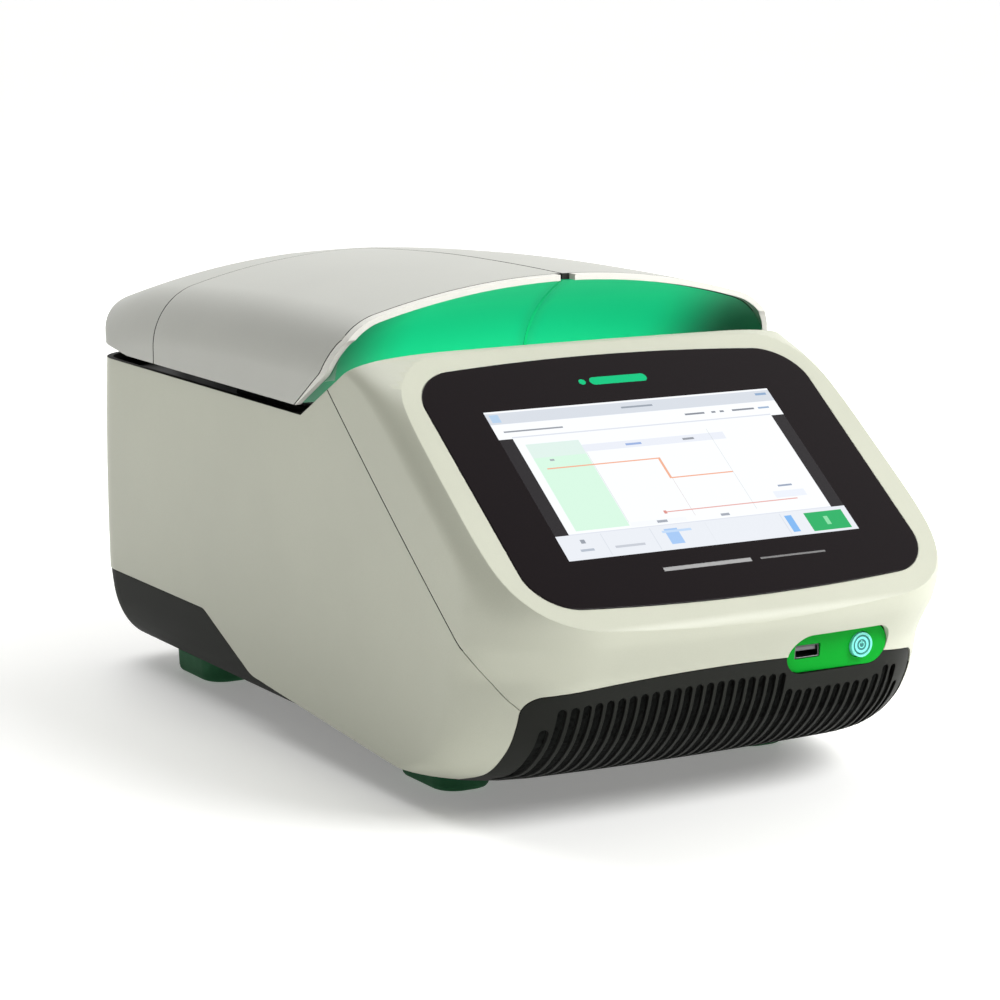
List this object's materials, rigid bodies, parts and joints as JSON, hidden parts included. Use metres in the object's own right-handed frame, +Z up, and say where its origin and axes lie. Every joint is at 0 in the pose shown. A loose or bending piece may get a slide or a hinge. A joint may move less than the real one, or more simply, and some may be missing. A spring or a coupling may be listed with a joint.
{
  "type": "thermal cycler",
  "caption": "Bench-top thermal cycler: sloping touch display on a soft-cornered case, twin half lids with lit green coves over two sample blocks, chin grille with a port pod.",
  "frame": {"origin": "on the bench under the middle of the machine's overall box", "axes": "+X to the user's right seen from the display side, +Y from the display to the rear panel, +Z up"},
  "size_m": [0.2448, 0.4597, 0.2288],
  "materials": {
    "casing_plastic": "fine spark-eroded moulding, pale warm grey",
    "lid_plastic": "satin moulding, mid warm grey",
    "trim_plastic": "satin moulding, off-white",
    "dark_plastic": "fine texture, dark grey-olive",
    "black_plastic": "satin black",
    "green_plastic": "satin bright green",
    "lit_diffuser": "translucent green cove, lit from behind",
    "cyan_light_guide": "pale cyan light guide",
    "display_glass": "black-backed touch glass",
    "foot_rubber": "moulded dark green rubber",
    "seal_rubber": "moulded grey rubber",
    "aluminium": "machined, bead blasted",
    "steel": "zinc plated sheet",
    "circuit_board": "solder resist over glass laminate",
    "ceramic": "unglazed alumina"
  },
  "bodies": {
    "base": {"base_tray": "dark_plastic", "housing": "casing_plastic", "fascia": "casing_plastic", "front_grille": "dark_plastic", "intake_screen": "seal_rubber", "port_pod": "green_plastic", "usb_socket": "steel", "power_ring": "cyan_light_guide", "touch_glass": "display_glass", "lcd_module": "steel", "display_frame": "black_plastic", "rear_panel": "dark_plastic", "power_inlet": "black_plastic", "switch_frame": "black_plastic", "ethernet_socket": "steel", "rear_usb_socket": "steel", "inner_deck": "dark_plastic", "fan_bulkhead": "steel", "power_supply": "steel", "control_board": "circuit_board", "foot_front_left": "foot_rubber", "foot_front_right": "foot_rubber", "foot_rear_left": "foot_rubber", "foot_rear_right": "foot_rubber", "heat_sink_left": "aluminium", "heat_sink_right": "aluminium", "peltier_left": "ceramic", "peltier_right": "ceramic", "sample_block_left": "aluminium", "sample_block_right": "aluminium", "block_seal_left": "seal_rubber", "block_seal_right": "seal_rubber", "fan_frame_left": "black_plastic", "fan_frame_right": "black_plastic", "hinge_bracket_left": "steel", "hinge_bracket_right": "steel", "hinge_pin_left": "steel", "hinge_pin_right": "steel"},
    "lid_left": {"lid_shell_left": "lid_plastic", "lid_cowl_left": "lid_plastic", "lid_trim_left": "trim_plastic", "lid_diffuser_left": "lit_diffuser", "lid_liner_left": "black_plastic", "light_bar_left": "circuit_board"},
    "lid_right": {"lid_shell_right": "lid_plastic", "lid_cowl_right": "lid_plastic", "lid_trim_right": "trim_plastic", "lid_diffuser_right": "lit_diffuser", "lid_liner_right": "black_plastic", "light_bar_right": "circuit_board"},
    "platen_left": {"heated_platen_left": "aluminium"},
    "platen_right": {"heated_platen_right": "aluminium"},
    "fan_left": {"fan_rotor_left": "black_plastic"},
    "fan_right": {"fan_rotor_right": "black_plastic"},
    "start_button": {"power_button": "green_plastic"},
    "mains_rocker": {"power_rocker": "black_plastic"}
  },
  "joints": [
    {"name": "lid_left_hinge", "type": "hinge", "parent": "base", "child": "lid_left", "pos_m": [-0.06, 0.218, 0.178], "axis": [-1, 0, 0], "range_deg": [0, 75]},
    {"name": "lid_right_hinge", "type": "hinge", "parent": "base", "child": "lid_right", "pos_m": [0.06, 0.218, 0.178], "axis": [-1, 0, 0], "range_deg": [0, 75]},
    {"name": "platen_left_press", "type": "slide", "parent": "lid_left", "child": "platen_left", "axis": [0, 0, 1], "range_m": [0, 0.004], "stiffness_N_per_m": 1500, "springref_m": -0.001},
    {"name": "platen_right_press", "type": "slide", "parent": "lid_right", "child": "platen_right", "axis": [0, 0, 1], "range_m": [0, 0.004], "stiffness_N_per_m": 1500, "springref_m": -0.001},
    {"name": "fan_left_spin", "type": "hinge", "parent": "base", "child": "fan_left", "pos_m": [-0.059, -0.062, 0.092], "axis": [0, 1, 0], "continuous": true},
    {"name": "fan_right_spin", "type": "hinge", "parent": "base", "child": "fan_right", "pos_m": [0.059, -0.062, 0.092], "axis": [0, 1, 0], "continuous": true},
    {"name": "power_button_press", "type": "slide", "parent": "base", "child": "start_button", "axis": [0, 1, 0], "range_m": [0, 0.0012], "stiffness_N_per_m": 900, "springref_m": -0.0005},
    {"name": "mains_rocker_tip", "type": "hinge", "parent": "base", "child": "mains_rocker", "pos_m": [-0.028, 0.2254, 0.084], "axis": [-1, 0, 0], "range_deg": [0, 24]}
  ]
}
